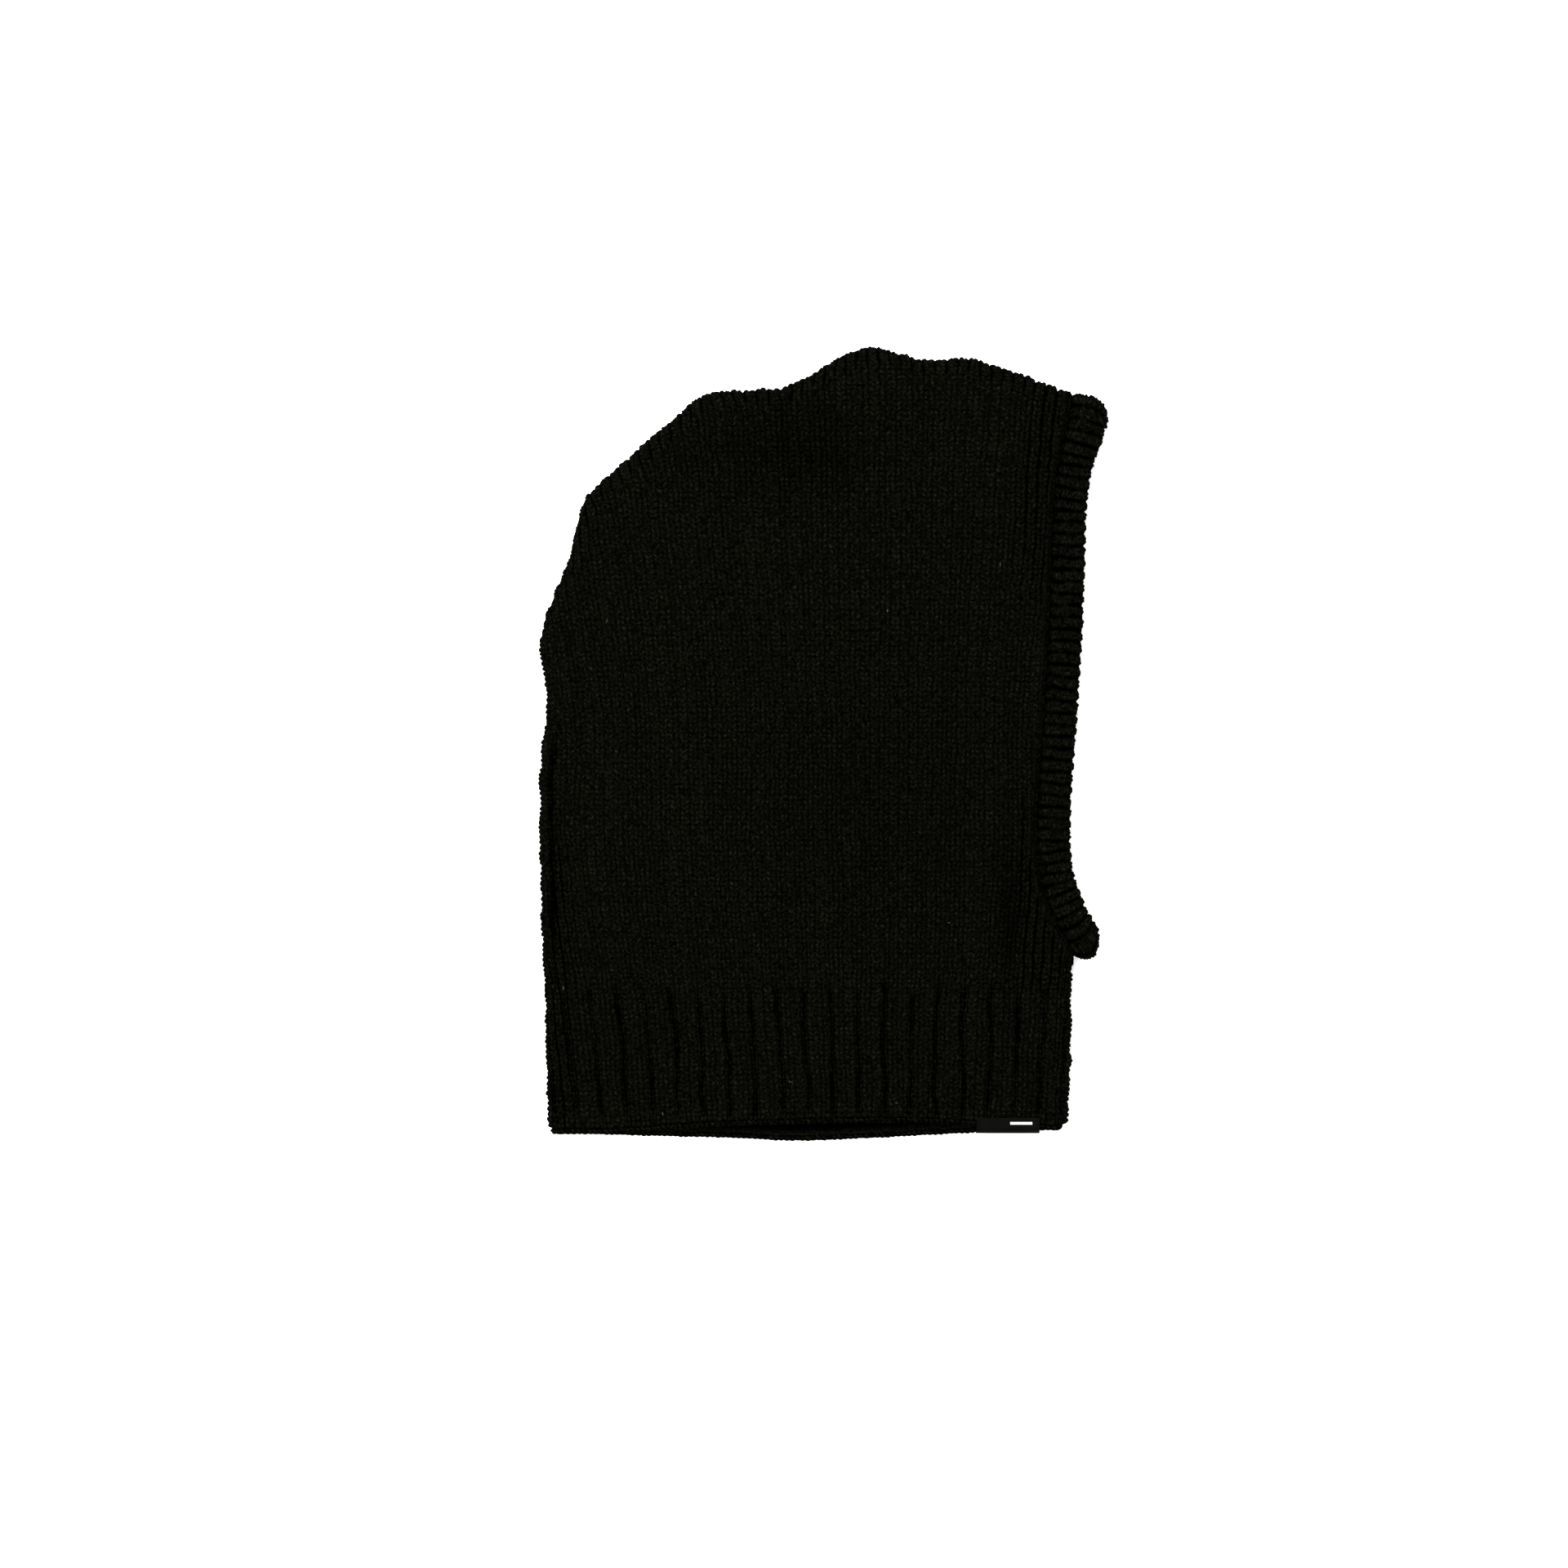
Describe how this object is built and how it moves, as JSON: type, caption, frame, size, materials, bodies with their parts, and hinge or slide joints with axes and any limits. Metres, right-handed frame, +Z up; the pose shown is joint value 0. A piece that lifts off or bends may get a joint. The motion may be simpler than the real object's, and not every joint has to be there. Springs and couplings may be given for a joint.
{
  "type": "knitted balaclava",
  "caption": "Chunky knitted hood-style balaclava laid flat on its side, with a ribbed neck, a doubled rib band round the face opening and a folded hem label.",
  "frame": {"origin": "under the middle of the flat-laid outline, at the level of the surface it lies on", "axes": "+Z up out of the cloth, +Y from the neck hem to the crown, +X from the back of the head to the face opening; the wearer's right side is the upper layer"},
  "size_m": [0.2798, 0.3899, 0.025],
  "materials": {
    "stockinette": "matt, fuzzy black wool, plain knit with upright wales",
    "rib_knit": "matt, fuzzy black wool rib with deep grooves",
    "seam_yarn": "matt black wool chain and linking yarn",
    "label_satin": "smooth black woven satin",
    "label_thread": "black sewing thread",
    "mark_thread": "pale satin-stitch thread"
  },
  "bodies": {
    "root": {"right_side_panel": "stockinette", "left_side_panel": "stockinette", "right_neck_rib": "rib_knit", "left_neck_rib": "rib_knit", "face_band": "rib_knit", "right_cast_off_edge": "seam_yarn", "left_cast_off_edge": "seam_yarn", "back_and_crown_seam": "seam_yarn", "front_neck_seam": "seam_yarn", "band_linking_seam": "seam_yarn", "band_end_join": "seam_yarn", "hem_label": "label_satin", "label_stitching_back": "label_thread", "label_stitching_front": "label_thread", "label_mark": "mark_thread"}
  },
  "joints": []
}
